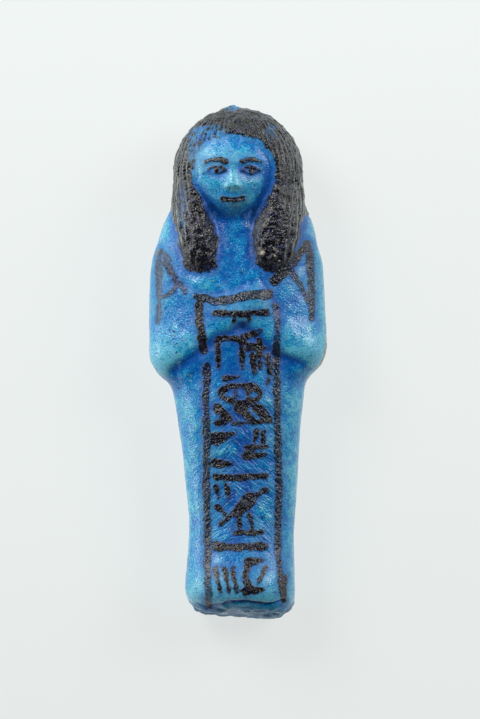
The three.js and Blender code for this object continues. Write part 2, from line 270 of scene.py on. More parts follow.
def read_edges(mesh):
    flat = np.zeros(len(mesh.edges) * 2, np.int64)
    mesh.edges.foreach_get("vertices", flat)
    return flat.reshape(-1, 2)


def smoothed(values, edges, rounds):
    """The vertices' values, averaged with those of their neighbours in that many rounds."""
    count = len(values)
    first, second = edges.T
    degree = np.bincount(edges.ravel(), minlength=count)[:, None]
    result = values.reshape(count, -1).copy()
    for _ in range(rounds):
        near = np.empty_like(result)
        for column in range(result.shape[1]):
            data = result[:, column]
            near[:, column] = np.bincount(first, data[second], count)
            near[:, column] += np.bincount(second, data[first], count)
        result = 0.5 * (result + near / degree)
    return result.reshape(values.shape)


def set_attribute(mesh, name, values):
    layer = mesh.attributes.new(name, "FLOAT", "POINT")
    layer.data.foreach_set("value", np.asarray(values, np.float32))


# ---- Carving ------------------------------------------------------------------------------------

# Each noise below has its height, then the size of its cells and its seed.

# Creases of the crossed arms, seen from in front: points (x, s), depth and half-width. The first
# two are under the forearms.
ARM_CREASES = (
    (((-13.0, 51.0), (-8.4, 54.2), (-3.2, 57.8), (0.8, 59.6)), 0.6, 1.2),
    (((0.8, 59.6), (4.0, 57.4), (7.8, 53.8), (13.0, 52.2)), 0.6, 1.2),
    (((4.6, 69.4), (7.2, 65.6), (8.6, 61.2), (7.6, 57.4)), 0.22, 0.8),
    (((-12.6, 68.9), (-8.0, 66.9), (-3.0, 66.6), (2.6, 68.8)), 0.25, 0.9),
)
# The sole's ragged upper edge and its second crevice.
SOLE_CREASES = (
    (((-5.6, 3.0), (-2.4, 3.9), (2.2, 4.3), (5.4, 3.3), (9.4, 4.3)), 0.8, 0.45),
    (((-1.6, 1.9), (1.4, 2.3), (3.2, 1.6), (6.6, 1.3)), 0.75, 0.4),
)


def soften(piece, worn_share, rounds):
    """Smooths the piece where the function worn_share says, as a worn mould does."""
    mesh = piece.data
    points = read_points(mesh)
    share = 0.9 * worn_share(*points.T)
    worn = smoothed(points, read_edges(mesh), rounds)
    write_points(mesh, mix(points, worn, share[:, None]))


def on_hands(x, s, z):
    """On the hands and the crossing of the arms, which are only soft swellings."""
    return bell(away(x, s, (-0.5, 64), (11.5, 7.6)), 1) * smoothstep(8, 12, z)


def on_shoulders(x, s, _z):
    """At the corners where the hair meets the outline of the shoulders."""
    return bell(away(np.abs(x), s, (16, 82), (2.6, 3.4)), 1)


def carve_by_hand(points, _normals):
    """The unevenness of a figure pressed in a mould and trimmed by hand."""
    uneven = 0.12 * noise(points, 7, 41) + 0.06 * noise(points, 3.5, 42)
    return uneven + 0.06 * noise(points, 1.7, 43) + 0.055 * noise(points, 0.95, 44)


def carve_creases(points, normals):
    x, s, _ = points.T
    front = smoothstep(0.05, 0.4, normals[:, 2])
    wobble = 0.35 * noise(points, 2.4, 3)
    depth = np.zeros(len(points))
    for path, deep, half in ARM_CREASES:
        depth += deep * bell(stroke_distance(x, s, path) + wobble, half) * front
    return -depth


WRINKLE_X = -0.9  # the wrinkles fall away from this line to both sides
WRINKLE_SLOPE = 0.8
WRINKLE_RELIEF = 0.24
VALLEY_X = 0.4  # the valley down the legs
VALLEY_DEPTH = 0.42
VALLEY_HALF = 3.4


def wrinkled(points):
    """How wrinkled the glaze is: most in the valley down the legs, a little everywhere else."""
    x, s, z = points.T
    legs = smoothstep(10, 20, s) * smoothstep(54, 44, s) * bell(x - 1.6, 7.5)
    return np.maximum(0.06, legs) * smoothstep(3, 8, z)


def carve_legs(points, normals):
    """The wrapped legs: a shallow valley down the middle, and glaze that ran and wrinkled in it."""
    x, s, z = points.T
    front = smoothstep(0.2, 0.6, normals[:, 2])
    band = smoothstep(8, 20, s) * smoothstep(56, 48, s)
    valley = VALLEY_DEPTH * bell(x - VALLEY_X, VALLEY_HALF) * band
    fallen = s + WRINKLE_SLOPE * np.abs(x - WRINKLE_X)
    wrinkles = noise(np.stack([x, fallen, z], axis=1), (1.9, 1.2, 2), 11)
    return (WRINKLE_RELIEF * wrinkles * wrinkled(points) - valley) * front


def carve_sole(points, _normals):
    """The sole was cut off while wet, and dried with a ragged rim and cracks in layers."""
    x, s, z = points.T
    sole = smoothstep(4.6, 2.6, s - 0.5 * noise(points, 3, 21))
    layers = noise(points, (3.4, 0.8, 1.0), 22) + 0.6 * noise(points, (1.5, 0.55, 0.6), 23)
    depth = 0.5 * layers * sole
    front = smoothstep(2, 8, z)
    for path, deep, half in SOLE_CREASES:
        off = stroke_distance(x, s + 0.35 * noise(points, 2.2, 24), path)
        depth -= deep * bell(off, half) * front
    return depth


STRANDS = 58  # round the whole head, about 1.35 mm apart
STRAND_RELIEF = 0.62
LAPPET_RISE = 8.4  # how far the lappets' inner edges stand above the head's core


def strand_angle(points):
    """The angle round the head, made to run along the lappets' inner edges below the brow."""
    x, s, z = points.T
    angle = np.arctan2(z - HEAD_CORE_Z, np.abs(x - FACE_X * smoothstep(80, 90, s)))
    inner = np.where(x < 0, station(LEFT_LAPPET, s, 1), station(RIGHT_LAPPET, s, 1))
    edge = np.arctan2(np.interp(s, (72, 91), (LAPPET_RISE + 0.2, LAPPET_RISE)), inner)
    edge_at_brow = math.radians(45)
    followed = angle * edge_at_brow / edge
    return np.where(z > HEAD_CORE_Z, mix(followed, angle, smoothstep(86, 94, s)), angle)


def strand_ridges(points, normals):
    """From 0 in a furrow to 1 on top of a strand, and how clear of the black's crust it is."""
    s = points[:, 1]
    turn = strand_angle(points) / (2 * math.pi) * STRANDS + 0.35 * noise(points, (3, 9, 3), 31)
    ridge = np.sqrt(np.sin(math.pi * (turn - np.floor(turn))))
    # Paint fills the furrows towards the lappets' ends, at the crown, in front, and in patches.
    clear = smoothstep(71, 78, s + 0.6 * noise(points, 2, 32)) * smoothstep(104.3, 102, s)
    clear *= mix(0.45, 1, smoothstep(0.95, 0.7, normals[:, 2]))
    clear *= mix(0.35, 1, smoothstep(-0.5, 0.1, noise(points, (2.2, 5, 2.2), 35)))
    return ridge, clear


def carve_hair(points, normals):
    hair = hair_distance(points)
    on_hair = smoothstep(0.1, -0.5, hair)
    ridge, clear = strand_ridges(points, normals)
    strands = STRAND_RELIEF * (ridge - 0.75) * clear
    x, s, z = points.T
    askew = np.stack([0.8 * x - 0.6 * s, 0.6 * x + 0.8 * s, z], axis=1)
    crust = 0.17 * noise(askew, 0.8, 33) + 0.17 * noise(points, (0.8, 1.9, 0.8), 34)
    crust *= mix(0.9, 1, smoothstep(0.6, 0.9, normals[:, 2]))
    return (strands + crust) * on_hair + 0.1 * bell(hair + 0.9, 0.7)


# ---- The face: an ordinary calm one, on thirds of its height and fifths of its width ------------

THIRD = (HAIRLINE_S - CHIN_S) / 3
EYE_WIDTH = 3.44  # a fifth of the face's width, and as far apart
BROW_S = HAIRLINE_S - THIRD
NOSE_BASE_S = CHIN_S + THIRD
EYE_S = BROW_S - THIRD * 0.32
MOUTH_S = NOSE_BASE_S - THIRD * 0.36


def bow(side, middle, half, lift, stations):
    """A curve from the inner end, -1, to the outer one, 1, with its middle lifted."""
    x, s = middle
    return [(x + side * t * half, s + lift * (1 - t * t)) for t in stations]


def lid(side, lift):
    middle = (FACE_X + side * EYE_WIDTH, EYE_S)
    return bow(side, middle, EYE_WIDTH / 2, lift, np.linspace(-1, 1, 7))


def brow(side):
    middle = (FACE_X + side * (EYE_WIDTH + 0.1), BROW_S - 0.1)
    return bow(side, middle, EYE_WIDTH * 0.58, 0.45, (-1, -0.4, 0.3, 1))


def carve_face(points, normals):
    """Raises lids, eyeballs, brows and the nose's wings, and sinks nostrils and the lips' line."""
    x, s, z = points.T
    front = smoothstep(0.1, 0.5, normals[:, 2]) * (z > 12)
    relief = np.zeros(len(points))
    for side in (-1, 1):
        eye = (FACE_X + side * EYE_WIDTH, EYE_S)
        wing = (FACE_X + side * 1.25, NOSE_BASE_S + 0.5)
        nostril = (FACE_X + side * 0.7, NOSE_BASE_S - 0.1)
        relief += 0.16 * bell(stroke_distance(x, s, lid(side, 0.8)), 0.32)
        relief += 0.1 * bell(stroke_distance(x, s, lid(side, -0.6)), 0.3)
        relief += 0.12 * bell(away(x, s, eye, (1.2, 0.6)), 1)
        relief += 0.14 * bell(stroke_distance(x, s, brow(side)), 0.5)
        relief += 0.22 * bell(away(x, s, wing), 0.6)
        relief -= 0.2 * bell(away(x, s, nostril), 0.35)
    corners = (FACE_X - 2.1, MOUTH_S + 0.1), (FACE_X + 2.1, MOUTH_S + 0.1)
    lips = (corners[0], (FACE_X, MOUTH_S - 0.05), corners[1])
    relief -= 0.28 * bell(stroke_distance(x, s, lips), 0.28)
    return relief * front


def move_along_normals(piece, *reliefs):
    """Adds up the reliefs, and keeps the flat back and every side within the solid's box."""
    mesh = piece.data
    points = read_points(mesh)
    normals = read_normals(mesh)
    relief = sum(make(points, normals) for make in reliefs)
    low = cad_low - (0, HEEL_Y, 0)
    high = cad_high - (0, HEEL_Y, 0)
    write_points(mesh, np.clip(points + normals * relief[:, None], low, high))


# ---- Paint --------------------------------------------------------------------------------------

FAR = 3  # paint distances are kept up to this

# The frame of the painted column, the hoe held at each shoulder, and the black just below the
# lappets' ends, which is spilt paint and painted shadow: path, widths and strength.
COLUMN_FRAME = (
    (((-8.4, 66.0), (-4.6, 65.0), (-1.6, 65.3), (2.6, 66.3), (6.1, 66.4)), (1.5, 2.1), 0.95),
    (((-7.9, 64.6), (-7.6, 60.0), (-7.0, 55.2)), (1.7, 1.8), 1.0),
    (((-6.3, 52.0), (-6.5, 46.0), (-6.4, 30.0), (-6.2, 16.0), (-6.0, 3.4)), (1.6, 1.5), 0.92),
    (((7.7, 64.2), (8.0, 60.4), (7.8, 57.0)), (1.4, 1.3), 0.8),
    (((7.7, 57.8), (8.0, 40.0), (8.3, 28.0), (8.0, 14.0), (8.9, 8.0)), (1.5, 1.5), 0.92),
    (((8.9, 9.0), (9.3, 4.6)), (2.3, 1.2), 1.0),
)
HOES_SPILLS_AND_SHADOWS = (
    (((-16.0, 74.6), (-15.9, 68.0), (-16.2, 60.8)), (1.8, 0.8), 0.78),
    (((-15.8, 74.8), (-14.0, 71.8), (-12.2, 68.6)), (2.0, 1.2), 0.85),
    (((-15.6, 74.2), (-14.6, 73.4)), (2.6, 2.2), 0.7),
    (((-15.8, 65.8), (-13.4, 66.8), (-11.8, 68.9), (-10.6, 66.8)), (1.0, 1.0), 0.78),
    (((14.2, 76.6), (14.8, 70.0), (14.9, 61.6)), (1.8, 1.2), 0.92),
    (((14.0, 76.8), (11.0, 72.8), (7.5, 69.3)), (1.5, 2.2), 1.0),
    # Black just below the lappets' ends: spilt paint and painted shadow.
    (((-9.6, 72.0), (-7.2, 71.4), (-4.8, 72.2)), (1.8, 1.5), 0.9),
    (((4.8, 72.8), (8.8, 71.6)), (1.3, 2.0), 0.95),
    (((10.6, 71.2), (12.8, 68.0), (14.6, 64.0)), (1.4, 0.9), 0.85),
)


def column_strokes():
    """Rows of plain strokes that fill the column: bars, dabs, ticks and arcs that spell nothing."""
    left, right = -4.9, 6.3
    middle = (left + right) / 2
    strokes = []

    def add(points, start_width, end_width):
        strokes.append((points, (start_width, end_width), 1))

    def bar(s, start, end, rise, width):
        add(((start, s), ((start + end) / 2, s - 0.2), (end, s + rise)), width, width * 0.85)

    def ticks(s, places, height, width, lean=0):
        for place in places:
            add(((place, s + height / 2), (place + lean, s - height / 2)), width, width * 0.6)

    def dab(s, x, length, width, lean):
        add(((x - length / 2, s), (x + length / 2, s + lean)), width, 0.8)

    bar(62.6, left + 0.4, right - 0.6, 0.2, 1.5)
    ticks(61.9, (middle - 1.4, middle + 1.4), 1.6, 1.5)
    bar(57.6, left + 1.2, middle + 3.8, 1.4, 1.4)
    ticks(54.4, (left + 0.8, middle, right - 2.0), 5.4, 1.5, 0.2)
    dab(56.0, right - 2.2, 3.4, 2.2, -0.5)
    ticks(52.2, (right - 3.4, right - 0.4), 3.4, 1.4, 0.5)
    dab(49.6, middle - 2.0, 2.6, 1.3, 0.2)
    add(arc((middle - 0.2, 46.6), (3.9, 1.5), 10, 170), 1.3, 1.4)
    add(arc((middle - 0.2, 46.2), (3.9, 1.6), 190, 350), 1.4, 1.2)
    ticks(46.4, (middle - 1.2, middle + 1.3), 2.2, 1.1)
    ticks(48.8, (right - 0.3,), 0.6, 1.4)
    for place in (left + 0.6, middle - 0.6, right - 2.6):
        add(((place, 43.6), (place + 2.8, 41.0)), 2.1, 1.6)
    dab(43.9, middle + 1.2, 3.0, 1.6, 0.3)
    bar(40.6, left + 0.6, right - 1.2, 0.2, 1.1)
    dab(37.4, left + 2.2, 3.4, 2.8, 1.0)
    ticks(37.4, (right - 2.6, right - 1.0), 2.8, 1.2, -0.4)
    dab(35.4, right - 2.4, 3.8, 1.5, 0.3)
    dab(33.8, right - 2.6, 4.0, 1.9, 0.3)
    dab(32.4, left + 2.2, 3.6, 2.2, -0.3)
    bar(29.6, left + 0.2, right - 0.8, 0.2, 1.5)
    ticks(26.4, (left + 0.5, left + 2.6), 2.4, 1.3, 0.5)
    add(((right - 0.6, 27.0), (middle + 0.6, 24.2), (left + 1.4, 20.0)), 1.2, 1.0)
    add(((middle + 1.4, 25.0), (middle - 0.8, 22.2)), 3.2, 2.4)
    add(((left + 0.6, 23.6), (left + 2.6, 21.6)), 1.3, 0.9)
    ticks(20.4, (middle - 0.8, middle + 1.6), 3.0, 1.3, 0.6)
    bar(18.4, middle - 1.0, right - 1.4, 0.0, 1.4)
    bar(15.6, left + 0.4, right - 0.6, 0.0, 1.8)
    add(arc((middle + 2.4, 9.6), (1.6, 2.8), 80, 260), 1.5, 1.7)
    ticks(9.8, (right - 0.8,), 3.0, 1.2, -1.4)
    dab(6.6, middle + 2.6, 3.4, 2.0, 0.4)
    ticks(8.8, (left + 0.4, left + 2.2, left + 3.8), 4.6, 1.3, 0.9)
    dab(12.6, middle + 2.8, 3.0, 1.4, 0.3)
    return strokes


def face_strokes():
    """Brows, eyes and mouth, drawn alike on both sides."""
    strokes = []
    for side in (-1, 1):
        eye_x = FACE_X + side * EYE_WIDTH
        strokes.append((brow(side), (1.25, 0.8), 1.0))
        strokes.append((lid(side, 0.75), (0.7, 0.6), 1.0))
        strokes.append((lid(side, -0.6), (0.5, 0.4), 0.8))
        strokes.append((((eye_x, EYE_S + 0.1), (eye_x, EYE_S - 0.05)), (1.2, 1.2), 1.0))
    mouth = ((FACE_X - 1.9, MOUTH_S), (FACE_X, MOUTH_S - 0.1), (FACE_X + 1.9, MOUTH_S))
    strokes.append((mouth, (1.2, 1.1), 1.0))
    return strokes


def strokes_on(points, normals):
    """Signed distance to the nearest stroke, and how strong its black is."""
    x, s, _ = points.T
    ink = np.full(len(points), float(FAR))
    strength = np.ones(len(points))
    for path, width, dark in (*COLUMN_FRAME, *HOES_SPILLS_AND_SHADOWS, *column_strokes(), *face_strokes()):
        off = stroke_distance(x, s, path, width)
        strength = np.where(off < ink, dark, strength)
        ink = np.minimum(ink, off)
    ink += 0.17 * noise(points, 1.7, 51) + 0.13 * noise(points, 0.8, 52)
    # The strokes are only on the front.
    behind = smoothstep(0.15, -0.05, normals[:, 2])
    return np.maximum(ink, mix(-FAR, FAR, behind)), strength


def painted_hair(points):
    """Signed distance to the edge of the hair's black."""
    x, s, z = points.T
    # It runs a little past the ends of the lappets, unevenly: spilt paint, and painted shadow under
    # their ends.
    ragged = 0.55 * noise(points, 2.1, 53)
    spill_and_shadow = np.maximum(lappet_distance(x, s + 1.6) + 0.3 + ragged, WIDEST_Z - z)
    # On the breast the brush ran down the lappets' inner sides.
    inner_sides = smoothstep(86, 83, s) * smoothstep(7, 5, np.abs(x)) * smoothstep(71, 73, s)
    return np.minimum(hair_distance(points), spill_and_shadow) - 0.4 * inner_sides


# Where the hair's black is thin: middle (x, s), half-widths, and the share that is gone.
THIN_HAIR = (
    ((-1.3, 104.9), (1.6, 1.3), 1.0),
    ((-6.2, 98.6), (3.6, 1.9), 0.95),
    ((-9.0, 95.2), (1.2, 2.4), 0.6),
    ((6.6, 99.4), (1.0, 1.6), 0.35),
    ((-11.2, 84.0), (0.9, 4.6), 0.3),
)


def thinned_hair(points):
    x, s, z = points.T
    thin = np.zeros(len(points))
    for middle, half_widths, share in THIN_HAIR:
        near = smoothstep(1.3, 0.7, away(x, s, middle, half_widths))
        thin = np.maximum(thin, share * near * (z > WIDEST_Z))
    return thin


def ridge_highlights(points, normals):
    """Where a pale highlight is painted on top of the strands: at the sides of the head, where the
    surface turns sideways.
    """
    x, _, z = points.T
    ridge, clear = strand_ridges(points, normals)
    sides = smoothstep(0.85, 0.35, normals[:, 2]) * smoothstep(4, 9, z)
    sides *= mix(0.35, 1, smoothstep(3, 9, np.abs(x - FACE_X)))
    return smoothstep(0.45, 1, ridge) * clear * sides


# Small chips where the pale body shows: middle (x, s) and radius.
CHIPS = (((4.8, 74.7), 0.45), ((7.4, 74.1), 0.2), ((8.3, 73.2), 0.1))
# The glaze is rubbed through along the right elbow: path (s, z) on that side, and widths.
RUBBED_ELBOW = (((57.3, 12.4), (54.9, 12.9), (52.6, 12.2)), (1.7, 2.6))
RUBBED_FROM_X = 15


def chip_distance(points):
    x, s, z = points.T
    nearest = np.full(len(points), float(FAR))
    for middle, radius in CHIPS:
        nearest = np.minimum(nearest, np.where(z > WIDEST_Z, away(x, s, middle) - radius, FAR))
    rubbed = stroke_distance(s, z, *RUBBED_ELBOW) + 0.25 * noise(points, 0.9, 62)
    return np.minimum(nearest, np.where(x > RUBBED_FROM_X, rubbed, FAR))


def paint(piece):
    """Stores where paint and bare paste lie. Distances are in millimetres, negative inside."""
    mesh = piece.data
    points = read_points(mesh)
    normals = read_normals(mesh)
    ink, strength = strokes_on(points, normals)
    set_attribute(mesh, "ink", np.clip(ink, -FAR, FAR))
    set_attribute(mesh, "ink_strength", strength)
    set_attribute(mesh, "hair", np.clip(painted_hair(points), -FAR, FAR))
    set_attribute(mesh, "thin_hair", thinned_hair(points))
    set_attribute(mesh, "chip", chip_distance(points))
    set_attribute(mesh, "wrinkle", wrinkled(points))
    set_attribute(mesh, "ridge_highlight", ridge_highlights(points, normals))


def hollows(points, normals, edges, rounds):
    """How far the surface lies below its neighbourhood, which widens with the rounds."""
    return np.einsum("ij,ij->i", smoothed(points, edges, rounds) - points, normals)


def pool_glaze_and_shade(piece):
    """Stores how deep the glaze stands: positive in hollows, negative on edges and swellings, with
    painted shade added under the forearms.
    """
    mesh = piece.data
    points = read_points(mesh)
    normals = read_normals(mesh)
    edges = read_edges(mesh)
    x, s, _ = points.T
    by_form = 1.1 * hollows(points, normals, edges, 90) + 2.2 * hollows(points, normals, edges, 14)
    # The worn upper edge of the left forearm is not as thinly glazed as other edges.
    by_form *= 1 - 0.8 * bell(away(x, s, (-8, 69), (4, 2.4)), 1)
    # The glaze stopped under the forearms, where painted shade darkens it too, and ran together in
    # the valley down the legs.
    pooled_and_shaded_under_arms = np.zeros(len(points))
    for path, _, _ in ARM_CREASES[:2]:
        off = stroke_distance(x, s + 0.8 + 0.5 * noise(points, 2.6, 61), path)
        pooled_and_shaded_under_arms = np.maximum(pooled_and_shaded_under_arms, 0.4 * bell(off, 1.7))
    pooled_and_shaded_under_arms *= smoothstep(0.1, 0.5, normals[:, 2])
    valley = 0.24 * bell(x - 0.2, 4.2) * smoothstep(61, 55, s) * smoothstep(20, 32, s)
    valley *= smoothstep(0.3, 0.7, normals[:, 2])
    # The pool attribute also carries the painted shade under the forearms.
    set_attribute(mesh, "pool", np.clip(by_form + pooled_and_shaded_under_arms + valley, -2, 2))


# ---- Materials ----------------------------------------------------------------------------------


def colour(code):
    """An sRGB hex value as linear colour."""
    channels = [int(code[i : i + 2], 16) / 255 for i in (0, 2, 4)]
    return (*(c / 12.92 if c <= 0.04045 else ((c + 0.055) / 1.055) ** 2.4 for c in channels), 1)


def add_node(tree, kind, inputs, output=0, **settings):
    """Adds a node. Inputs are values, or outputs to link from. Gives the node's output."""
    node = tree.nodes.new("ShaderNode" + kind)
    for name, value in settings.items():
        setattr(node, name, value)
    for key, value in inputs.items():
        if isinstance(value, bpy.types.NodeSocket):
            tree.links.new(value, node.inputs[key])
        else:
            node.inputs[key].default_value = value
    return node.outputs[output] if len(node.outputs) else node


def new_material(name):
    material = bpy.data.materials.new(name)
    material.use_nodes = True
    material.node_tree.nodes.clear()
    return material, material.node_tree


# Settings of the nodes that are used most. MapRange takes 1 and 2 as the range of its value, and 3
# and 4 as what they become.
SMOOTH = {"interpolation_type": "SMOOTHSTEP"}
BLEND = {"data_type": "RGBA", "output": 2}
ADD = {"operation": "ADD"}
TIMES = {"operation": "MULTIPLY"}
TIMES_ADD = {"operation": "MULTIPLY_ADD"}

STORED = ("pool", "ink", "ink_strength", "hair", "thin_hair", "ridge_highlight", "chip", "wrinkle")

# What chance does on the glaze: size in millimetres, detail, roughness and distortion. Real quartz
# grains are 0.1 mm and would not show, so the grains are drawn three times as coarse.
PATTERNS = {
    "drifts": (9, 3, 0.55, 0.5),
    "clouds": (3, 4, 0.6, 0.9),
    "mottling": (1, 3, 0.7, 0),
    "grains": (0.3, 1, 0.5, 0),
    "pits": (0.9, 2, 0.6, 0),
    "rust": (0.7, 0, 0.5, 0),
    "crust": (0.33, 1, 0.5, 0),
    "lumps": (0.55, 2, 0.5, 0),
}

# The glaze's colour from where it is thin to where it stands deepest.
GLAZE = (
    (0.05, "5ab0c8"),
    (0.22, "2697bc"),
    (0.42, "007eb8"),
    (0.62, "006db2"),
    (0.8, "0060aa"),
    (0.98, "004c9c"),
)
LILAC_BLOOM = "7eaadb"
PALE_GRAIN = "62b2d6"
GAP_BETWEEN_GRAINS = "004a90"
PIT = "0a2c66"
IRON_SPECK = "7d8a5c"
SOLE_GLAZE_AND_SHADE = "006496"
BLED_BLACK = "064c9e"
MANGANESE_BLACK = "0b0a0e"
BLUE_BLACK = "1b2350"
# Pale grey of the highlight painted on the strands' ridges at the sides.
RIDGE_HIGHLIGHT_GREY = "87908c"
GLINT = "84868a"
BARE_PASTE = "bdb8ac"
DIRTY_PASTE = "655c45"


def surface_fields(tree):
    """What the finish depends on: the place, what is stored on the mesh, and the patterns."""
    place = add_node(tree, "TexCoord", {}, "Object")
    fields = {"place": place}
    for name in STORED:
        fields[name] = add_node(tree, "Attribute", {}, "Fac", attribute_name=name)
    for axis in "XYZ":
        fields[axis] = add_node(tree, "SeparateXYZ", {0: place}, axis)
    for name, (size, detail, roughness, distortion) in PATTERNS.items():
        pattern = {
            "Vector": place,
            "Scale": 1 / (size * MM),
            "Detail": detail,
            "Roughness": roughness,
            "Distortion": distortion,
        }
        fields[name] = add_node(tree, "TexNoise", pattern)
    return fields


def glaze_colour(tree, fields):
    """The copper-blue glaze, without the black."""
    # How deep the glaze looks: in hollows, and darker with painted shade under the forearms, then
    # by chance.
    depth = add_node(tree, "Math", {0: fields["pool"], 1: 0.85, 2: 0.555}, **TIMES_ADD)
    for name, low, high, most in (
        ("drifts", 0.32, 0.68, 0.15),
        ("clouds", 0.3, 0.7, 0.17),
        ("mottling", 0.3, 0.7, 0.12),
    ):
        spread = {"Value": fields[name], 1: low, 2: high, 3: -most, 4: most}
        share = add_node(tree, "MapRange", spread, **SMOOTH)
        depth = add_node(tree, "Math", {0: depth, 1: share}, **ADD)
    body = add_node(tree, "ValToRGB", {"Fac": depth})
    stops = body.node.color_ramp.elements
    stops[0].position, stops[1].position = GLAZE[0][0], GLAZE[-1][0]
    stops[0].color, stops[1].color = colour(GLAZE[0][1]), colour(GLAZE[-1][1])
    for position, code in GLAZE[1:-1]:
        stops.new(position).color = colour(code)

    # A lilac bloom in streaks of 7 mm along the figure.
    streaked = add_node(tree, "Mapping", {"Vector": fields["place"], "Scale": (2.2, 1, 1)})
    bloom = {
        "Vector": streaked,
        "Scale": 1 / (7 * MM),
        "Detail": 4,
        "Roughness": 0.62,
        "Distortion": 1,
    }
    bloom = {"Value": add_node(tree, "TexNoise", bloom), 1: 0.55, 2: 0.73, 3: 0, 4: 0.37}
    share = add_node(tree, "MapRange", bloom, **SMOOTH)
    body = add_node(tree, "Mix", {0: share, 6: body, 7: colour(LILAC_BLOOM)}, **BLEND)

    # Pale grains of unmelted quartz, which deep glaze hides.
    shallow = {"Value": depth, 1: 0.5, 2: 0.85, 3: 0.75, 4: 0.12}
    shallow = add_node(tree, "MapRange", shallow, **SMOOTH)
    share = add_node(tree, "MapRange", {"Value": fields["grains"], 1: 0.52, 2: 0.72}, **SMOOTH)
    share = add_node(tree, "Math", {0: share, 1: shallow}, **TIMES)
    body = add_node(tree, "Mix", {0: share, 6: body, 7: colour(PALE_GRAIN)}, **BLEND)

    # Deep glaze between the grains, small dark pits, and specks of iron.
    for name, low, high, at_low, at_high, code in (
        ("grains", 0.28, 0.48, 0.65, 0, GAP_BETWEEN_GRAINS),
        ("pits", 0.27, 0.38, 0.8, 0, PIT),
        ("rust", 0.79, 0.82, 0, 0.6, IRON_SPECK),
    ):
        spread = {"Value": fields[name], 1: low, 2: high, 3: at_low, 4: at_high}
        share = add_node(tree, "MapRange", spread, **SMOOTH)
        body = add_node(tree, "Mix", {0: share, 6: body, 7: colour(code)}, **BLEND)

    # The sole was trimmed bare and took only a thin, greenish glaze, up to a ragged line; its
    # darker teal is also painted shade, as the sole faces away from the lamps.
    ragged = {0: fields["clouds"], 1: 1.6 * MM, 2: -0.8 * MM}
    ragged = add_node(tree, "Math", ragged, **TIMES_ADD)
    height = add_node(tree, "Math", {0: fields["Y"], 1: ragged}, **ADD)
    rim = {"Value": height, 1: (HEEL_Y + 3.2) * MM, 2: (HEEL_Y + 4.4) * MM, 3: 0.75, 4: 0}
    sole = add_node(tree, "MapRange", rim, **SMOOTH)
    return add_node(tree, "Mix", {0: sole, 6: body, 7: colour(SOLE_GLAZE_AND_SHADE)}, **BLEND)


def bled_share(tree, fields):
    """How much of the black bled into the glaze round each stroke and along the hair."""
    drawn = add_node(tree, "Math", {0: fields["ink"], 1: fields["hair"]}, operation="MINIMUM")
    ragged = {"Value": fields["clouds"], 1: 0.35, 2: 0.65, 3: -0.5, 4: 0.5}
    ragged = add_node(tree, "MapRange", ragged, **SMOOTH)
    bled = add_node(tree, "Math", {0: drawn, 1: ragged}, **ADD)
    return add_node(tree, "MapRange", {"Value": bled, 1: 0, 2: 1.4, 3: 0.5, 4: 0}, **SMOOTH)


def black_share(tree, fields, rough_edge):
    """Where the black lies: brush strokes with a grainy edge, and the hair, thin in places."""
    clouds, mottling = fields["clouds"], fields["mottling"]
    edge = add_node(tree, "Math", {0: fields["ink"], 1: rough_edge}, **ADD)
    strokes = {"Value": edge, 1: -0.22, 2: 0.16, 3: 1, 4: 0}
    strokes = add_node(tree, "MapRange", strokes, **SMOOTH)
    thin = {"Value": clouds, 1: 0.56, 2: 0.76, 3: 1, 4: 0.6}
    thin = add_node(tree, "MapRange", thin, **SMOOTH)
    strokes = add_node(tree, "Math", {0: strokes, 1: thin}, **TIMES)
    strokes = add_node(tree, "Math", {0: strokes, 1: fields["ink_strength"]}, **TIMES)

    ragged = {"Value": clouds, 1: 0.25, 2: 0.75, 3: -0.5, 4: 0.5}
    ragged = add_node(tree, "MapRange", ragged, **SMOOTH)
    edge = add_node(tree, "Math", {0: fields["hair"], 1: ragged}, **ADD)
    hair = add_node(tree, "MapRange", {"Value": edge, 1: -0.3, 2: 0.2, 3: 1, 4: 0}, **SMOOTH)
    patchy = {"Value": mottling, 1: 0.4, 2: 0.54, 3: 0.1, 4: 1}
    patchy = add_node(tree, "MapRange", patchy, **SMOOTH)
    gone = add_node(tree, "Math", {0: fields["thin_hair"], 1: patchy}, **TIMES)
    left = add_node(tree, "Math", {0: 1.0, 1: gone}, operation="SUBTRACT")
    hair = add_node(tree, "Math", {0: hair, 1: left}, **TIMES)
    return add_node(tree, "Math", {0: strokes, 1: hair}, operation="MAXIMUM")


def black_colour(tree, fields):
    """Manganese black: blue where it is thin, with a painted pale highlight on the strands at the
    sides, and painted glints on its grains.
    """
    mottling = fields["mottling"]
    thin = {"Value": mottling, 1: 0.5, 2: 0.68, 3: 0, 4: 0.75}
    share = add_node(tree, "MapRange", thin, **SMOOTH)
    ends = {0: share, 6: colour(MANGANESE_BLACK), 7: colour(BLUE_BLACK)}
    black = add_node(tree, "Mix", ends, **BLEND)
    # Painted highlight: pale grey on the strands' ridges at the sides, in patches.
    patchy = {"Value": mottling, 1: 0.35, 2: 0.55, 3: 0.3, 4: 1}
    share = add_node(tree, "MapRange", patchy, **SMOOTH)
    share = add_node(tree, "Math", {0: fields["ridge_highlight"], 1: share}, **TIMES)
    black = add_node(tree, "Mix", {0: share, 6: black, 7: colour(RIDGE_HIGHLIGHT_GREY)}, **BLEND)
    # Painted glints: pale grey specks on the black's grains.
    glints = {"Value": fields["grains"], 1: 0.58, 2: 0.72, 3: 0, 4: 0.36}
    share = add_node(tree, "MapRange", glints, **SMOOTH)
    return add_node(tree, "Mix", {0: share, 6: black, 7: colour(GLINT)}, **BLEND)


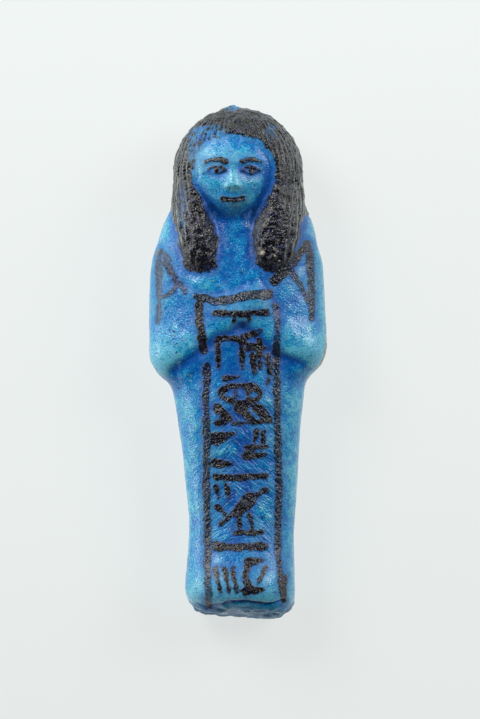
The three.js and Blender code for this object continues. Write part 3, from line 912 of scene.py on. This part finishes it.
def small_relief(tree, fields, black):
    """Grains that stand up, more in the black, and wrinkles 0.9 mm apart in the legs' glaze."""
    share = add_node(tree, "MapRange", {"Value": black, 1: 0, 2: 1, 3: 0.27, 4: 0})
    relief = add_node(tree, "Math", {0: fields["crust"], 1: share}, **TIMES)
    lumps = add_node(tree, "Math", {0: fields["lumps"], 1: black}, **TIMES)
    relief = add_node(tree, "Math", {0: lumps, 1: 0.85, 2: relief}, **TIMES_ADD)
    # The wrinkles fall away to both sides of a line down the legs.
    aside = add_node(tree, "Math", {0: fields["X"], 1: WRINKLE_X * MM}, operation="SUBTRACT")
    aside = add_node(tree, "Math", {0: aside}, operation="ABSOLUTE")
    fallen = add_node(tree, "Math", {0: aside, 1: WRINKLE_SLOPE, 2: fields["Y"]}, **TIMES_ADD)
    across = add_node(tree, "Math", {0: fields["X"], 1: 0.6}, **TIMES)
    folded = add_node(tree, "CombineXYZ", {0: across, 1: fallen, 2: fields["Z"]})
    folds = {"Vector": folded, "Scale": 1 / (0.9 * MM), "Detail": 1, "Distortion": 1.0}
    folds = add_node(tree, "TexNoise", folds)
    folds = add_node(tree, "Math", {0: folds, 1: fields["wrinkle"]}, **TIMES)
    relief = add_node(tree, "Math", {0: folds, 1: 1.25, 2: relief}, **TIMES_ADD)
    return add_node(tree, "Bump", {"Height": relief, "Strength": 1.0, "Distance": 0.4 * MM})


def gloss(tree, fields, bled, black):
    """Roughness: clouded on the glaze, matt where the black bled, uneven on the black."""
    clouded = {"Value": fields["clouds"], 1: 0.3, 2: 0.7, 3: 0.16, 4: 0.28}
    on_glaze = add_node(tree, "MapRange", clouded, **SMOOTH)
    on_glaze = add_node(tree, "Math", {0: bled, 1: 0.6, 2: on_glaze}, **TIMES_ADD)
    uneven = {"Value": fields["mottling"], 1: 0.35, 2: 0.65, 3: 0.14, 4: 0.3}
    on_black = add_node(tree, "MapRange", uneven)
    return add_node(tree, "Mix", {0: black, 2: on_glaze, 3: on_black}, data_type="FLOAT")


def glazed_quartz_paste():
    """Egyptian faience: copper-blue alkaline glaze on sintered quartz, with manganese black paint.

    The glaze is thin and pale where it drew back from edges and swellings, and deep cobalt where it
    pooled. It is glassy but full of grains and bubbles, so its gloss breaks up into small glints.
    """
    material, tree = new_material("glazed quartz paste, copper blue with manganese black")
    fields = surface_fields(tree)

    body = glaze_colour(tree, fields)
    bled = bled_share(tree, fields)
    body = add_node(tree, "Mix", {0: bled, 6: body, 7: colour(BLED_BLACK)}, **BLEND)

    rough_edge = {"Value": fields["mottling"], 1: 0.25, 2: 0.75, 3: -0.22, 4: 0.22}
    rough_edge = add_node(tree, "MapRange", rough_edge, **SMOOTH)
    black = black_share(tree, fields, rough_edge)
    layers = {0: black, 6: body, 7: black_colour(tree, fields)}
    painted = add_node(tree, "Mix", layers, **BLEND)

    # Where the body is bare. Paste that was bared long ago, at the elbow, has taken dirt.
    edge = add_node(tree, "Math", {0: fields["chip"], 1: rough_edge}, **ADD)
    bare = add_node(tree, "MapRange", {"Value": edge, 1: -0.25, 2: 0.15, 3: 1, 4: 0}, **SMOOTH)
    elbow = {"Value": fields["X"], 1: (RUBBED_FROM_X - 1) * MM, 2: RUBBED_FROM_X * MM}
    dirty = add_node(tree, "MapRange", elbow)
    ends = {0: dirty, 6: colour(BARE_PASTE), 7: colour(DIRTY_PASTE)}
    paste = add_node(tree, "Mix", ends, **BLEND)

    glassy = {
        "Base Color": add_node(tree, "Mix", {0: bare, 6: painted, 7: paste}, **BLEND),
        "Roughness": gloss(tree, fields, bled, black),
        "IOR": 1.5,
        "Normal": small_relief(tree, fields, black),
        "Coat Weight": 0.1,
        "Coat Roughness": 0.12,
        "Sheen Weight": 0.05,
        "Sheen Roughness": 0.3,
        "Sheen Tint": colour("e4f6fb"),
    }
    add_node(tree, "OutputMaterial", {"Surface": add_node(tree, "BsdfPrincipled", glassy)})
    return material


def light_table():
    """Opal glass lit from below: it glows, slightly more past the head, so shadows are faint."""
    material, tree = new_material("opal glass of a light table")
    place = add_node(tree, "TexCoord", {}, "Object")
    along = add_node(tree, "SeparateXYZ", {0: place}, "Y")
    glow = {"Value": along, 1: -75 * MM, 2: 75 * MM, 3: 0.68, 4: 0.74}
    opal = {
        "Base Color": colour("6a6f6e"),
        "Roughness": 0.8,
        "Specular IOR Level": 0.2,
        "Emission Color": colour("fbfffe"),
        "Emission Strength": add_node(tree, "MapRange", glow),
    }
    shader = add_node(tree, "BsdfPrincipled", opal)
    add_node(tree, "OutputMaterial", {"Surface": shader})
    return material


# ---- The figure ---------------------------------------------------------------------------------


def make_figure():
    """Carves the form, lets the glaze pool on it, and then works the head in finer faces."""
    piece = refined_copy()
    soften(piece, on_hands, rounds=130)
    soften(piece, on_shoulders, rounds=24)
    move_along_normals(piece, carve_by_hand, carve_creases, carve_legs, carve_sole)
    pool_glaze_and_shade(piece)
    subdivide_head(piece)
    move_along_normals(piece, carve_hair, carve_face)
    paint(piece)
    piece.data.materials.clear()
    piece.data.materials.append(glazed_quartz_paste())
    select_only(piece)
    bpy.ops.object.shade_smooth()
    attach(piece, "root")
    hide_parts(NODE)


# ---- Table, light and camera, in metres ---------------------------------------------------------

TABLE_WIDTH = 2.4

# Square lamps that face the figure: name, place, width and power.
SOFTBOXES = (
    ("key softbox", (-0.4, 0.42, 0.5), 0.34, 4.5),
    ("second softbox", (0.46, 0.26, 0.42), 0.3, 2.8),
    ("low strip of light", (-0.75, 0.02, 0.12), 0.3, 1.6),
)


def make_table():
    bpy.ops.object.select_all(action="DESELECT")
    bpy.ops.mesh.primitive_plane_add(size=TABLE_WIDTH, location=(0, 0, 0))
    table = bpy.context.active_object
    table.name = "table"
    table.data.materials.append(light_table())


def make_world():
    """A pale room: bright all round at table height, dimmer overhead where the camera is."""
    world = bpy.data.worlds.new("pale room")
    bpy.context.scene.world = world
    world.use_nodes = True
    tree = world.node_tree
    tree.nodes.clear()
    direction = add_node(tree, "TexCoord", {}, "Generated")
    up = add_node(tree, "SeparateXYZ", {0: direction}, "Z")
    dimming = {"Value": up, 1: 0, 2: 0.4, 3: 1.0, 4: 0.02}
    strength = add_node(tree, "MapRange", dimming, **SMOOTH)
    # Less light comes from beyond the feet, and more from the left.
    for axis, end, at_start in (("Y", 0, 0.36), ("X", 0.1, 2.9)):
        toward = add_node(tree, "SeparateXYZ", {0: direction}, axis)
        change = {"Value": toward, 1: -0.9, 2: end, 3: at_start, 4: 1}
        share = add_node(tree, "MapRange", change, **SMOOTH)
        strength = add_node(tree, "Math", {0: strength, 1: share}, **TIMES)
    background = add_node(tree, "Background", {"Color": colour("fcfdfb"), "Strength": strength})
    add_node(tree, "OutputWorld", {"Surface": background})


def make_softbox(name, place, width, power):
    light = bpy.data.lights.new(name, "AREA")
    light.shape = "SQUARE"
    light.size = width
    light.energy = power
    lamp = bpy.data.objects.new(name, light)
    bpy.context.scene.collection.objects.link(lamp)
    lamp.location = place
    lamp.rotation_euler = (-lamp.location.normalized()).to_track_quat("-Z", "Y").to_euler()


def make_camera():
    """Looks straight down from 0.74 m, and takes in 147 mm of the table's length."""
    frame_height = 0.1466  # at the level of the figure's outline
    middle_x, middle_y = 0.0004, 0.0008
    lens, sensor = 180, 36
    data = bpy.data.cameras.new("camera")
    data.lens = lens
    data.sensor_fit = "VERTICAL"
    data.sensor_height = sensor
    data.clip_end = 10
    camera = bpy.data.objects.new("camera", data)
    bpy.context.scene.collection.objects.link(camera)
    distance = frame_height * lens / sensor
    camera.location = (middle_x, middle_y, WIDEST_Z * MM + distance)
    bpy.context.scene.camera = camera


make_camera()
make_figure()
make_table()
make_world()
for softbox in SOFTBOXES:
    make_softbox(*softbox)
bpy.context.scene.view_settings.view_transform = "Standard"
